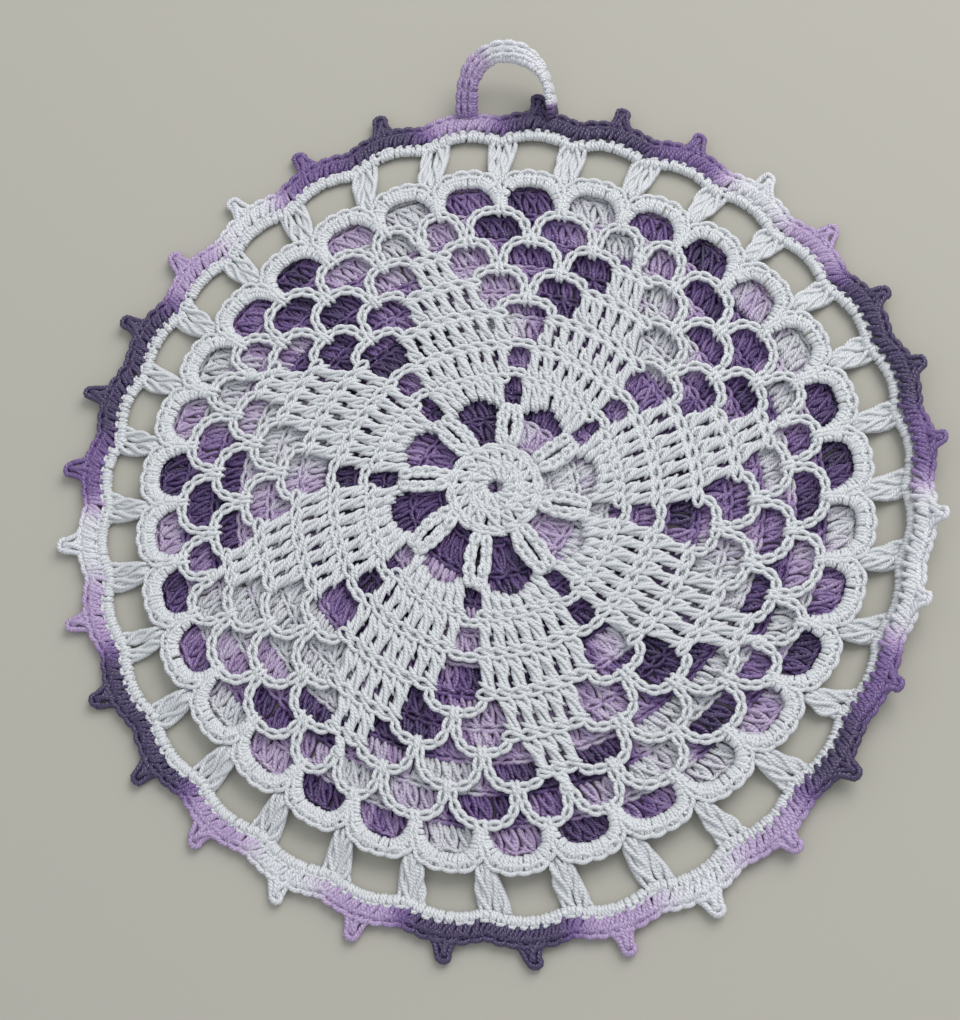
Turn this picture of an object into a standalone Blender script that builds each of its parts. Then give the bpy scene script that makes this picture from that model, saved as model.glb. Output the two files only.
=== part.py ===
"""Crochet pot holder: a plain round back, an openwork doily front, a picot edging and a hanging ring.

It lies flat with its face up. +Z is up, +Y points to the hanging ring, and the origin is the centre
of the back's underside. Radii in the layout are shares of TIP_RADIUS, and bearings are degrees
clockwise from +Y, seen from above. Units are metres.
"""

import math
from collections import namedtuple

import bpy
from mathutils import Vector
from mathutils.geometry import delaunay_2d_cdt

# Driving dimensions
TIP_RADIUS = 0.089          # centre to the tip of a picot
FABRIC = 0.0015             # one layer of thread crochet
CLEAR = 0.0003              # between pieces that touch
SECTORS = 8                 # petals of the front
ARCADES = 32                # openings under the rim, and picots on the edging

# Radii, as shares of TIP_RADIUS
BACK_EDGE = 0.780
BACK_ROUNDS = 12            # rounds of double crochet in the back
BACK_STEPS = 48             # flats round its edge
CENTRE_EDGE = 0.108         # top loops of the first round of the front
CENTRE_STITCHES = 16
SCALLOP_CREST = 0.790       # thick arcs that close the network
RIM_EDGE = 0.889            # where the white rim meets the edging
RIM_SWELL = 0.015           # each rim arc bows out this far at its middle
EDGING_EDGE = 0.942         # outside of the edging between picots
EDGING_SWELL = 0.010
EDGING_CREST = 0.917
PICOT_TIP = 1.004
PICOT_WIDTH = 1.6           # half the base of a picot, in degrees

# Heights above the layer
CREST_RAISE = 0.0006        # the scallop arcs are worked over a chain and stand proud
ROUND_RAISE = 0.0003        # top loops of each round of the petals
EDGING_RAISE = 0.0004
EDGE_ROUND = 0.0002         # the faces drop this far at every edge

# Where the front comes down from the back to the surface
SLOPE_START = 0.795
SLOPE_END = 0.865

# Bearings of the middle of the network: the rounds lean round the centre as they grow
AXIS_AT_RIM = 7.0
LEAN_OF_PETALS = 3.4
LEAN_OF_CENTRE = 6.0

# How the rim was pulled out of true: each row is one wave round the circle
Wave = namedtuple("Wave", "count stretch stretch_from turn turn_from")
UNEVEN = (
    Wave(1, 0.008, -100, 0.0, 0),
    Wave(2, 0.015, 10, 0.5, 65),
    Wave(3, 0.008, 140, 0.4, 85),
    Wave(4, 0.011, -70, 0.35, -85),
    Wave(5, 0.006, 24, 0.0, 0),
)
UNEVEN_START = 0.35
DRIFT = (-0.006, -0.014)    # the network sits off centre by these shares across and along

# Where the rim stands off the surface
Lift = namedtuple("Lift", "bearing spread height")
LIFTS = (
    Lift(100, 34, 0.0055),
    Lift(12, 26, 0.0014),
    Lift(-72, 30, 0.0009),
)
LIFT_START = 0.845

# Gaps of the front: their middles from the sector's axis, radii, half width and shape
Gap = namedtuple("Gap", "offsets inner outer half_width base")
GAPS = (
    Gap((22.5,), 0.124, 0.226, 11.5, 0.45),
    Gap((0.0,), 0.232, 0.286, 3.4, 1.0),
    Gap((0.0,), 0.300, 0.357, 3.8, 0.9),
    Gap((0.0,), 0.388, 0.474, 5.6, 0.5),
    Gap((-7.4, 7.4), 0.482, 0.550, 4.7, 0.5),
    Gap((0.0,), 0.552, 0.626, 4.6, 0.25),
    Gap((-13.2, 13.2), 0.560, 0.622, 4.5, 0.5),
    Gap((-5.9, 5.9), 0.618, 0.698, 4.4, 0.2),
    Gap((-17.2, 17.2), 0.643, 0.700, 4.2, 0.5),
    Gap((-11.25, 0.0, 11.25, 22.5), 0.692, 0.766, 4.3, 0.2),
)
ARCADE_INNER = 0.800
ARCADE_OUTER = 0.880
ARCADE_HALF_WIDTH = 4.1
ARCADE_SWELL = 0.012

# Rounds of the petals: radius of the top loops and half width of the petal there
Round = namedtuple("Round", "radius half_width")
PETAL_ROUNDS = (
    Round(0.288, 18.0),
    Round(0.372, 16.0),
    Round(0.457, 12.0),
    Round(0.542, 7.0),
    Round(0.625, 3.0),
)

# Hanging ring
RING_FEET = (-2.4, 9.3)     # bearings of its feet on the edging
RING_REACH = 0.0105         # how far it reaches past its feet, seen from above
RING_RISE = 0.0075          # how far its top stands up
RING_BAND = 0.0046          # width of the crocheted band
RING_BAND_THICK = 0.0021
RING_ARCH = 0.70            # under 1 the legs stand straighter
RING_TWIST = 80             # degrees that the band turns on its way to the second foot
RING_STEPS = 26
RING_SIDES = 10

Finish = namedtuple("Finish", "colour roughness")
WHITE_THREAD = Finish((0.80, 0.83, 0.84), 0.45)
SHADED_THREAD = Finish((0.30, 0.17, 0.40), 0.45)
RING_THREAD = Finish((0.55, 0.42, 0.62), 0.45)

Spot = namedtuple("Spot", "radius bearing raise_by")


def smooth(low, high, value):
    """0 below low, 1 above high, and an even S between."""
    share = min(max((value - low) / (high - low), 0.0), 1.0)
    return share * share * (3 - 2 * share)


def axis_bearing(radius):
    """Bearing of the first sector's axis at this radius."""
    petals = LEAN_OF_PETALS * (1 - smooth(0.45, 0.85, radius))
    centre = LEAN_OF_CENTRE * (1 - smooth(0.05, 0.28, radius))
    return AXIS_AT_RIM + petals + centre


def place(radius, bearing):
    """x and y of a spot of the sheet, after the pull that leaves the rim out of true."""
    pull = smooth(UNEVEN_START, 1.0, radius)
    stretch = 1.0
    turn = 0.0
    for wave in UNEVEN:
        stretch += pull * wave.stretch * math.cos(math.radians(wave.count * bearing - wave.stretch_from))
        turn += pull * wave.turn * math.cos(math.radians(wave.count * bearing - wave.turn_from))
    reach = radius * stretch
    angle = math.radians(bearing + turn)
    drift = smooth(0.3, 0.6, radius) * (1 - smooth(0.8, 1.0, radius))
    x = reach * math.sin(angle) + DRIFT[0] * drift
    y = reach * math.cos(angle) + DRIFT[1] * drift
    return x * TIP_RADIUS, y * TIP_RADIUS


def lift(radius, bearing):
    """Height of the underside above the surface where the rim curls up."""
    total = 0.0
    for one in LIFTS:
        away = (bearing - one.bearing + 180) % 360 - 180
        total += one.height * math.exp(-(away / one.spread) ** 2)
    return total * smooth(LIFT_START, 1.0, radius)


def seat(radius, bearing):
    """Underside of the front panel and edging: on the back panel inside, on the surface outside."""
    on_back = (FABRIC + CLEAR) * (1 - smooth(SLOPE_START, SLOPE_END, radius))
    return on_back + lift(radius, bearing)


def gap_outline(gap, middle):
    """Eight spots round one gap: an arch on its outer side, narrower at its base."""
    shoulder = 0.5 + 0.5 * gap.base
    shape = (
        (0.0, -0.55 * gap.base),
        (0.0, 0.55 * gap.base),
        (0.28, shoulder),
        (0.82, 0.97),
        (1.0, 0.45),
        (1.0, -0.45),
        (0.82, -0.97),
        (0.28, -shoulder),
    )
    spots = []
    for height, across in shape:
        radius = gap.inner + (gap.outer - gap.inner) * height
        spots.append(Spot(radius, axis_bearing(radius) + middle + across * gap.half_width, 0.0))
    return spots


def arcade_outline(middle):
    """Eight spots round one opening under the rim, between two posts."""
    shape = (
        (ARCADE_INNER, -0.95),
        (ARCADE_INNER + ARCADE_SWELL, -0.4),
        (ARCADE_INNER + ARCADE_SWELL, 0.4),
        (ARCADE_INNER, 0.95),
        (ARCADE_OUTER - ARCADE_SWELL, 0.95),
        (ARCADE_OUTER, 0.45),
        (ARCADE_OUTER, -0.45),
        (ARCADE_OUTER - ARCADE_SWELL, -0.95),
    )
    return [
        Spot(radius, AXIS_AT_RIM + middle + across * ARCADE_HALF_WIDTH, 0.0) for radius, across in shape
    ]


def scalloped_loop(radius, swell, steps, raise_by=0.0):
    """A closed line round the circle that bows out by swell over each opening."""
    spots = []
    for index in range(ARCADES * steps):
        share = index / steps
        bow = swell * abs(math.cos(math.pi * share))
        spots.append(Spot(radius + bow, AXIS_AT_RIM + 360 / ARCADES * share, raise_by))
    return spots


def even_odd(corners, x, y):
    """Whether the point x, y lies inside the closed line through these corners."""
    inside = False
    for (ax, ay), (bx, by) in zip(corners, corners[1:] + corners[:1]):
        if (ay > y) != (by > y) and x < (bx - ax) * (y - ay) / (by - ay) + ax:
            inside = not inside
    return inside


def filled(loops, crests):
    """Spots and triangles that fill the first loop, leave the others open and keep crests as edges."""
    spots = []
    edges = []
    loop_of = []
    corners_of = []
    for number, line in enumerate(loops + crests):
        start = len(spots)
        spots += line
        loop_of += [number if number < len(loops) else None] * len(line)
        corners_of.append([place(spot.radius, spot.bearing) for spot in line])
        edges += [(start + step, start + step + 1) for step in range(len(line) - 1)]
        if number < len(loops):
            edges.append((start + len(line) - 1, start))
    flat = [corner for corners in corners_of for corner in corners]
    _, _, found, origins, _, _ = delaunay_2d_cdt([Vector(corner) for corner in flat], edges, [], 0, 1e-8)
    triangles = []
    for face in found:
        corners = [origins[corner][0] for corner in face]
        owners = {loop_of[corner] for corner in corners}
        loop = owners.pop()
        if not owners and loop is not None:
            x = sum(flat[corner][0] for corner in corners) / 3
            y = sum(flat[corner][1] for corner in corners) / 3
            if even_odd(corners_of[loop], x, y) == (loop > 0):
                continue
        triangles.append(corners)
    return spots, triangles


def sheet_solid(name, finish, loops, crests, thickness):
    """A closed sheet: its outline is the first loop, the others are its gaps, and crests stand proud."""
    spots, triangles = filled(loops, crests)
    count = len(spots)
    edge_count = sum(len(loop) for loop in loops)
    under = []
    over = []
    for index, spot in enumerate(spots):
        x, y = place(spot.radius, spot.bearing)
        height = seat(spot.radius, spot.bearing)
        drop = EDGE_ROUND if index < edge_count else 0.0
        under.append((x, y, height))
        over.append((x, y, height + thickness + spot.raise_by - drop))
    faces = [tuple(reversed(face)) for face in triangles]
    faces += [tuple(count + corner for corner in face) for face in triangles]
    sides = {(a, b) for face in triangles for a, b in zip(face, face[1:] + face[:1])}
    for a, b in sorted(side for side in sides if side[::-1] not in sides):
        faces.append((a, b, count + b))
        faces.append((a, count + b, count + a))
    return solid(name, finish, under + over, faces)


def solid(name, finish, points, faces):
    """One named object of these faces, with its own material."""
    mesh = bpy.data.meshes.new(name)
    mesh.from_pydata(points, [], faces)
    mesh.validate()
    material = bpy.data.materials.new(name)
    material.use_nodes = True
    shader = material.node_tree.nodes["Principled BSDF"]
    shader.inputs["Base Color"].default_value = (*finish.colour, 1.0)
    shader.inputs["Roughness"].default_value = finish.roughness
    mesh.materials.append(material)
    piece = bpy.data.objects.new(name, mesh)
    bpy.context.scene.collection.objects.link(piece)
    return piece


def back_panel():
    """Disc of double crochet: flat underneath, a shallow swell over each round on top."""
    profile = []
    for number in range(BACK_ROUNDS):
        profile.append((BACK_EDGE * (number + 0.5) / BACK_ROUNDS, FABRIC))
        profile.append((BACK_EDGE * (number + 1) / BACK_ROUNDS, FABRIC - EDGE_ROUND))
    profile.append((BACK_EDGE, 0.0))
    points = [(0.0, 0.0, 0.0), (0.0, 0.0, FABRIC)]
    for step in range(BACK_STEPS):
        points += [(*place(radius, 360 * step / BACK_STEPS), height) for radius, height in profile]
    row = len(profile)
    faces = []
    for step in range(BACK_STEPS):
        here = 2 + step * row
        there = 2 + (step + 1) % BACK_STEPS * row
        faces.append((1, there, here))
        for ring in range(row - 1):
            faces.append((here + ring, there + ring, there + ring + 1))
            faces.append((here + ring, there + ring + 1, here + ring + 1))
        faces.append((0, here + row - 1, there + row - 1))
    return solid("back_panel", SHADED_THREAD, points, faces)


def round_crest(row, sector):
    """The line of top loops of one round across one petal."""
    middle = axis_bearing(row.radius) + 360 / SECTORS * (sector + 0.5)
    shares = (-1.0, -0.5, 0.0, 0.5, 1.0)
    return [Spot(row.radius, middle + row.half_width * share, ROUND_RAISE) for share in shares]


def front_panel():
    """Openwork doily: centre, petals, network, scallops, posts and white rim in one sheet."""
    loops = [scalloped_loop(RIM_EDGE, RIM_SWELL, 5)]
    for sector in range(SECTORS):
        for gap in GAPS:
            loops += [gap_outline(gap, 360 / SECTORS * sector + offset) for offset in gap.offsets]
    loops += [arcade_outline(360 / ARCADES * arcade) for arcade in range(ARCADES)]
    crests = [scalloped_loop(SCALLOP_CREST - ARCADE_SWELL, ARCADE_SWELL, 3, CREST_RAISE)]
    crests += [round_crest(row, sector) for sector in range(SECTORS) for row in PETAL_ROUNDS]
    pitch = 360 / CENTRE_STITCHES
    crests.append([Spot(CENTRE_EDGE, pitch * step, ROUND_RAISE) for step in range(CENTRE_STITCHES)])
    return sheet_solid("front_panel", WHITE_THREAD, loops, crests, FABRIC + EDGE_ROUND)


def picot_outline(middle):
    """Spots over one picot, a pointed loop of chain that leans back along the round."""
    foot = EDGING_EDGE + EDGING_SWELL
    shape = ((0.0, -1.0), (0.63, -0.75), (1.0, -0.45), (0.9, 0.15), (0.0, 1.0))
    return [
        Spot(foot + (PICOT_TIP - foot) * height, middle + PICOT_WIDTH * across, 0.0)
        for height, across in shape
    ]


def edging():
    """Band of single crochet round the rim, with a picot over each opening but at the ring's foot."""
    pitch = 360 / ARCADES
    outline = []
    for arcade in range(ARCADES):
        middle = AXIS_AT_RIM + pitch * arcade
        outline.append(Spot(EDGING_EDGE, middle - pitch / 2, 0.0))
        outline.append(Spot(EDGING_EDGE + EDGING_SWELL, middle - pitch / 4, 0.0))
        if arcade < ARCADES - 1:
            outline += picot_outline(middle)
        outline.append(Spot(EDGING_EDGE + EDGING_SWELL, middle + pitch / 4, 0.0))
    inner = scalloped_loop(RIM_EDGE + CLEAR / TIP_RADIUS, RIM_SWELL, 5)
    crest = scalloped_loop(EDGING_CREST, EDGING_SWELL, 4, EDGING_RAISE)
    return sheet_solid("edging", SHADED_THREAD, [outline, inner], [crest], FABRIC)


def rim_spot(bearing, height):
    """A point just clear of the edging's outer side, between picots."""
    x, y = place(EDGING_EDGE + EDGING_SWELL, bearing)
    out = 1 + CLEAR / math.hypot(x, y)
    return Vector((x * out, y * out, height))


def ring_section(middle, wide, thick, width):
    """Points round one oval section of the band."""
    points = []
    for side in range(RING_SIDES):
        angle = 2 * math.pi * side / RING_SIDES
        across = math.cos(angle) * width / 2
        through = math.sin(angle) * RING_BAND_THICK / 2
        points.append(middle + wide * across + thick * through)
    return points


def hanging_ring():
    """Arch of single crochet that stands on the edging, tipped up, its band turned at one side."""
    first, last = (rim_spot(bearing, FABRIC * 0.75) for bearing in RING_FEET)
    outward = Vector((0, RING_REACH, RING_RISE))
    middles = []
    for step in range(RING_STEPS + 1):
        angle = math.pi * step / RING_STEPS
        grow = max(math.sin(angle), 0.0) ** RING_ARCH
        middles.append(first.lerp(last, (1 - math.cos(angle)) / 2) + outward * grow)
    plane = Vector((0, -RING_RISE, RING_REACH)).normalized()
    points = []
    for step, middle in enumerate(middles):
        share = step / RING_STEPS
        along = (middles[min(step + 1, RING_STEPS)] - middles[max(step - 1, 0)]).normalized()
        turn = math.radians(RING_TWIST) * smooth(0.5, 0.9, share)
        out = plane.cross(along).normalized()
        wide = out * math.cos(turn) + plane * math.sin(turn)
        width = RING_BAND * (1 - 0.3 * smooth(0.6, 1.0, share))
        section = ring_section(middle, wide, along.cross(wide), width)
        if step in (0, RING_STEPS):
            bearings = [math.degrees(math.atan2(point.x, point.y)) for point in section]
            section = [rim_spot(bearing, max(point.z, 0.0)) for bearing, point in zip(bearings, section)]
        points += section
    faces = [tuple(reversed(range(RING_SIDES)))]
    for step in range(RING_STEPS):
        for side in range(RING_SIDES):
            here = step * RING_SIDES + side
            beside = step * RING_SIDES + (side + 1) % RING_SIDES
            faces.append((here, beside, beside + RING_SIDES, here + RING_SIDES))
    top = RING_STEPS * RING_SIDES
    faces.append(tuple(range(top, top + RING_SIDES)))
    return solid("hanging_ring", RING_THREAD, points, faces)


def main():
    for leftover in list(bpy.data.objects):
        bpy.data.objects.remove(leftover, do_unlink=True)
    back_panel()
    front_panel()
    edging()
    hanging_ring()


main()
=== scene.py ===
"""Crochet pot holder: each stitch of its layers, edging and hanging ring as thread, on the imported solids."""

import math
from collections import namedtuple

import bpy
import numpy as np
from bpy.props import FloatProperty, FloatVectorProperty, IntProperty, PointerProperty
from bpy.types import Operator, Panel, PropertyGroup
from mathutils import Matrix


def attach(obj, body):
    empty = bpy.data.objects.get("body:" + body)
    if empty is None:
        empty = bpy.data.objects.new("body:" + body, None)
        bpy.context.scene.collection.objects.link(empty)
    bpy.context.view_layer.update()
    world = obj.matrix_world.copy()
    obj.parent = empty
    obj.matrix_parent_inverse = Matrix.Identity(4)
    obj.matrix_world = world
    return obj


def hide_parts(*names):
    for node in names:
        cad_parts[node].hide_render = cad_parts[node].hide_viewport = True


bl_info = {
    "name": "Crochet pot holder",
    "version": (1, 0, 0),
    "blender": (4, 5, 0),
    "location": "View3D > Sidebar > Crochet",
    "description": "Makes a round crochet pot holder stitch by stitch on its packed solids",
    "category": "Object",
}

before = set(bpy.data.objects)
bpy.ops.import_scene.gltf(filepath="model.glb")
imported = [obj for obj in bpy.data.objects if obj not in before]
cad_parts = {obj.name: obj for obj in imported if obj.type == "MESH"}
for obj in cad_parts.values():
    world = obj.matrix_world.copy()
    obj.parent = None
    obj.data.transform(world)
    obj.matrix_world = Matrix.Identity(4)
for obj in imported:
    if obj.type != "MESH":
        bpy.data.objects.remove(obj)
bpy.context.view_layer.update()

MM = 0.001
FULL_TURN = 360.0

# The sheet's own measures, as in the part: radii are shares of TIP_RADIUS and bearings are
# degrees clockwise from +Y.
TIP_RADIUS = 0.089
FABRIC = 0.0015
CLEAR = 0.0003
SECTORS = 8
ARCADES = 32
BACK_EDGE = 0.780
BACK_ROUNDS = 12
ROUND_ADDED = 12
ROUND_SHIFT = 0.35
ROUND_LEAN = 0.5
SLOPE_START = 0.795
SLOPE_END = 0.865
AXIS_AT_RIM = 7.0
LEAN_OF_PETALS = 3.4
LEAN_OF_CENTRE = 6.0
UNEVEN_START = 0.35
DRIFT = (-0.006, -0.014)
CENTRE_DRIFT = (0.004, 0.020)
CENTRE_DRIFT_END = 0.24
LIFT_START = 0.845
SMALLEST_RADIUS = 0.012
# The radii between which each of these rises or falls, and the share that a fall takes away.
PETAL_LEAN_FALL = (0.45, 0.85)
CENTRE_LEAN_FALL = (0.05, 0.28)
BULGE_RISE = (0.30, 0.74)
BULGE_FALL = (0.90, 1.0)
BULGE_LOST = 0.6
OUTER_RISE = (0.70, 0.80)
OUTER_FALL = (0.83, 0.90)
OUTER_LOST = 0.8
DRIFT_RISE = (0.3, 0.6)
DRIFT_FALL = (0.8, 1.0)

Wave = namedtuple("Wave", "count stretch stretch_from turn turn_from")
UNEVEN = (
    Wave(1, 0.008, -100, 0.0, 0),
    Wave(2, 0.015, 10, 0.5, 65),
    Wave(3, 0.008, 140, 0.4, 85),
    Wave(4, 0.011, -70, 0.35, -85),
    Wave(5, 0.006, 24, 0.0, 0),
)
Bump = namedtuple("Bump", "bearing spread amount")
LIFTS = (Bump(100, 34, 0.0055), Bump(12, 26, 0.0014), Bump(-72, 30, 0.0009))
BULGES = (Bump(103, 36, 0.034), Bump(255, 58, -0.011), Bump(34, 13, 0.018))
OUTER_BULGES = (Bump(108, 26, 0.014), Bump(54, 20, 0.016), Bump(160, 13, -0.012))
POST_LEANS = (Bump(110, 26, -1.9), Bump(175, 45, -1.3), Bump(344, 14, 2.0))

# Front, from the middle out. Offsets are degrees from a sector's axis; petals stand half a sector on.
PETAL_OFFSET = FULL_TURN / SECTORS / 2
Row = namedtuple("Row", "foot head count foot_half head_half bow")
Foot = namedtuple("Foot", "offset radius")
CENTRE_TURN = 3
CENTRE_ROUNDS = (Row(0.022, 0.068, 12, 180, 180, 0.0), Row(0.060, 0.110, 16, 180, 180, 0.0))
SPOKE_FOOT = Foot(5.2, 0.106)
SPOKE_HEAD = Foot(2.9, 0.212)
SPOKE_BOW = 0.60
SPOKE_LOOPS = 5
PETAL_ROWS = (
    Row(0.205, 0.290, 7, 17.4, 18.8, 0.033),
    Row(0.292, 0.372, 7, 18.9, 18.4, 0.0),
    Row(0.374, 0.457, 7, 17.6, 15.9, 0.0),
    Row(0.459, 0.542, 5, 10.4, 9.4, 0.0),
    Row(0.544, 0.622, 3, 4.8, 4.2, 0.0),
    Row(0.622, 0.662, 1, 1.0, 1.0, 0.0),
)
Arch = namedtuple("Arch", "left right crest")
AXIS_ARCHES = (
    Arch(Foot(-6.8, 0.200), Foot(6.8, 0.200), 0.206),
    Arch(Foot(-4.4, 0.286), Foot(4.4, 0.286), 0.296),
    Arch(Foot(-5.2, 0.362), Foot(5.2, 0.362), 0.370),
    Arch(Foot(-7.6, 0.450), Foot(7.6, 0.450), 0.485),
)
INNER_PAIR = Arch(Foot(-13.4, 0.534), Foot(-0.9, 0.490), 0.562)
TOP_ARCH = Arch(Foot(-6.4, 0.562), Foot(6.4, 0.562), 0.637)
OUTER_PAIRS = (
    Arch(Foot(-18.6, 0.612), Foot(-8.0, 0.562), 0.634),
    Arch(Foot(-12.6, 0.634), Foot(-0.8, 0.637), 0.709),
    Arch(Foot(-21.8, 0.652), Foot(-13.8, 0.634), 0.711),
)


def both_sides(arch):
    """The arch and its mirror image across the sector's axis."""
    left = Foot(-arch.right.offset, arch.right.radius)
    right = Foot(-arch.left.offset, arch.left.radius)
    return arch, Arch(left, right, arch.crest)


NETWORK = AXIS_ARCHES + both_sides(INNER_PAIR) + (TOP_ARCH,) + sum(map(both_sides, OUTER_PAIRS), ())
SCALLOP_FOOT = 0.712
SCALLOP_CREST = 0.790
SCALLOP_ENDS = ((-16.5, -6.0), (-5.2, 5.2), (6.0, 16.5), (17.4, 27.6))
SCALLOPS = tuple(
    Arch(Foot(left, SCALLOP_FOOT), Foot(right, SCALLOP_FOOT), SCALLOP_CREST) for left, right in SCALLOP_ENDS
)
KNOTS = (
    Foot(0.0, 0.487),
    Foot(7.2, 0.562),
    Foot(-7.2, 0.562),
    Foot(0.0, 0.637),
    Foot(13.2, 0.634),
    Foot(-13.2, 0.634),
    Foot(5.8, 0.712),
    Foot(-5.8, 0.712),
    Foot(17.2, 0.712),
    Foot(-17.2, 0.712),
)
ARCH_BULGE = 2.5
SCALLOP_BULGE = 2.9
SCALLOP_STITCHES = 8
FIRST_ROW_WAIST = 0.25
PETAL_WAIST = 0.52
RIM_RADIUS = 0.887
RIM_SWELL = 0.017
RIM_STITCHES = 6
POST_FOOT = 0.792
POST_HEAD = 0.890
POST_FOOT_APART = 0.35
POST_HEAD_APART = 1.2
EDGING_RADIUS = 0.921
EDGING_SWELL = 0.016
EDGING_STITCHES = 7
PICOT_FOOT = 0.948
PICOT_TIP = 0.995
PICOT_LEAN = -0.2
PICOT_THICK = 1.25
PICOT_REACH = (Bump(75, 20, -0.010), Bump(112, 12, -0.012))
FIRST_PICOT_MOVED = (0.008, 0.5)
EDGING_EDGE = 0.942
RING_FEET = (-3.2, 8.5)
RING_REACH = 0.0115
RING_RISE = 0.0075
RING_LIFT = 0.0006
RING_ARCH = 0.70
RING_FACING = (0.0, -0.35, 1.0)
RING_TWIST = 80
RING_TWIST_OVER = (0.5, 0.9)
RING_STITCHES = 15

# Names of the back panel's pieces with the round that each ends before.
BACK_GROUPS = (("back_panel_middle", 8), ("back_panel_between", 10), ("back_panel_edge", 12))
COTTONS = {False: ("white_cotton", "white_thread"), True: ("shaded_cotton", "shaded_thread")}

# Colours of the shaded thread, W white, L lilac, P purple, D dark: evenly clockwise from a bearing
Shading = namedtuple("Shading", "start letters")
SHADES = {"W": 0.0, "L": 0.36, "P": 0.68, "D": 1.0}
BACK_SHADING = (
    Shading(-10, "DLWLDDDP"),
    Shading(-10, "DLWLDDDP"),
    Shading(-10, "DLWLDDDP"),
    Shading(-10, "DDDPWWWDDDLLDDPD"),
    Shading(11, "PPPDLDDP"),
    Shading(11, "PPPDLDDP"),
    Shading(0, "WPPPDPWPDPPPLWDD"),
    Shading(0, "LDWPPWDLLDWWLWDP"),
    Shading(0, "LDWPPWDLLDWWLWDP"),
    Shading(9, "PDWPDWPDWWDDWLDLWDDLLDLL"),
    Shading(3, "DPWLDPWPDLWPDWLPDLWLDLWPDPWLDLWL"),
    Shading(7, "DWPDLWDDWPDLWPDLWPDLWPDLDLWPDLWP"),
)
EDGING_SHADING = Shading(-15.5, "DLDDPWLDDPWWPDLWLDDLWLDDLWPDDLWP")
# Painted light: the back panel's shades are scaled paler by this, against the shade it lies in under the
# front.
BACK_PAINTED_LIGHT = 0.88
BACK_TINT = 0.07
# Partly painted shade: this power darkens the edging's shades. Part of this is its thread's own darker dye,
# and part is painted shade against the stronger light on the open edge.
EDGING_DYE_AND_SHADE_POWER = 0.85
RING_SHADE_SPOTS = (0.0, 0.12, 0.3, 0.42, 0.955, 0.975, 1.0)
RING_SHADE_VALUES = (0.6, 0.5, 0.33, 0.02, 0.0, 0.9, 1.0)

FLOOR_HALF = 3.0
FLOOR_DROP = 0.0001
SKY_COLOUR = (0.93, 0.96, 1.0, 1.0)
LAMP_COLOUR = (1.0, 0.98, 0.95)
LAMP_SIZE = 0.7
LAMP_PLACE = (0.45, 0.55, 0.70)
LAMP_DEGREES = (-38, 32, 0)
CAMERA_PLACE = (0.0328, -0.1156, 0.3392)
CAMERA_DEGREES = (18.35, 6.19, -0.5)


# ------------------------ the sheet


def smooth(low, high, value):
    """0 below low, 1 above high, and an even S between."""
    share = np.clip((value - low) / (high - low), 0.0, 1.0)
    return share * share * (3 - 2 * share)


def axis_bearing(radius):
    """Bearing of the first sector's axis at this radius."""
    petals = LEAN_OF_PETALS * (1 - smooth(*PETAL_LEAN_FALL, radius))
    centre = LEAN_OF_CENTRE * (1 - smooth(*CENTRE_LEAN_FALL, radius))
    return AXIS_AT_RIM + petals + centre


def bumps(rows, bearing):
    """Sum of bell curves of the bearing."""
    total = 0.0
    for row in rows:
        away = (bearing - row.bearing + 180) % FULL_TURN - 180
        total = total + row.amount * np.exp(-((away / row.spread) ** 2))
    return total


def place(radius, bearing):
    """x and y of spots of the sheet: a polar net, stretched and turned by a few waves round the rim."""
    pull = smooth(UNEVEN_START, 1.0, radius)
    stretch = 1.0
    turn = 0.0
    for wave in UNEVEN:
        stretch = stretch + pull * wave.stretch * np.cos(np.radians(wave.count * bearing - wave.stretch_from))
        turn = turn + pull * wave.turn * np.cos(np.radians(wave.count * bearing - wave.turn_from))
    bulge = smooth(*BULGE_RISE, radius) * (1 - BULGE_LOST * smooth(*BULGE_FALL, radius))
    outer = smooth(*OUTER_RISE, radius) * (1 - OUTER_LOST * smooth(*OUTER_FALL, radius))
    reach = radius * stretch + bulge * bumps(BULGES, bearing) + outer * bumps(OUTER_BULGES, bearing)
    angle = np.radians(bearing + turn)
    drift = smooth(*DRIFT_RISE, radius) * (1 - smooth(*DRIFT_FALL, radius))
    centre = 1 - smooth(0.0, CENTRE_DRIFT_END, radius)
    x = reach * np.sin(angle) + DRIFT[0] * drift + CENTRE_DRIFT[0] * centre
    y = reach * np.cos(angle) + DRIFT[1] * drift + CENTRE_DRIFT[1] * centre
    return x * TIP_RADIUS, y * TIP_RADIUS


def front_height(radius, bearing):
    """Middle height of the front and edging: on the back panel, then sloping to the floor, lifts added."""
    on_back = (FABRIC + CLEAR) * (1 - smooth(SLOPE_START, SLOPE_END, radius))
    return on_back + bumps(LIFTS, bearing) * smooth(LIFT_START, 1.0, radius) + FABRIC / 2


def back_height(radius, bearing):
    """Middle height of the back panel, which lies flat."""
    return FABRIC / 2 + 0 * radius * bearing


def spots_at(radius, bearing):
    """Spots of the sheet, each a row of radius and bearing."""
    return np.stack(np.broadcast_arrays(radius, bearing), axis=1)


def shade_at(shading, bearing):
    """Shade of the thread at these bearings: the letters' values, joined by S curves."""
    values = np.array([SHADES[letter] for letter in shading.letters])
    at = (bearing - shading.start) / FULL_TURN * len(values)
    index = np.floor(at).astype(int)
    share = smooth(0.2, 0.8, at - index)
    here = values[index % len(values)]
    there = values[(index + 1) % len(values)]
    return here + (there - here) * share


# ------------------------ stitches
# A strand's points are (along or across, along or height, up). In a stitch with a foot and a head
# they are millimetres across, share of the height and millimetres up. In a stitch of a line they
# are share of the stitch's length, millimetres outward and millimetres up.

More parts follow.
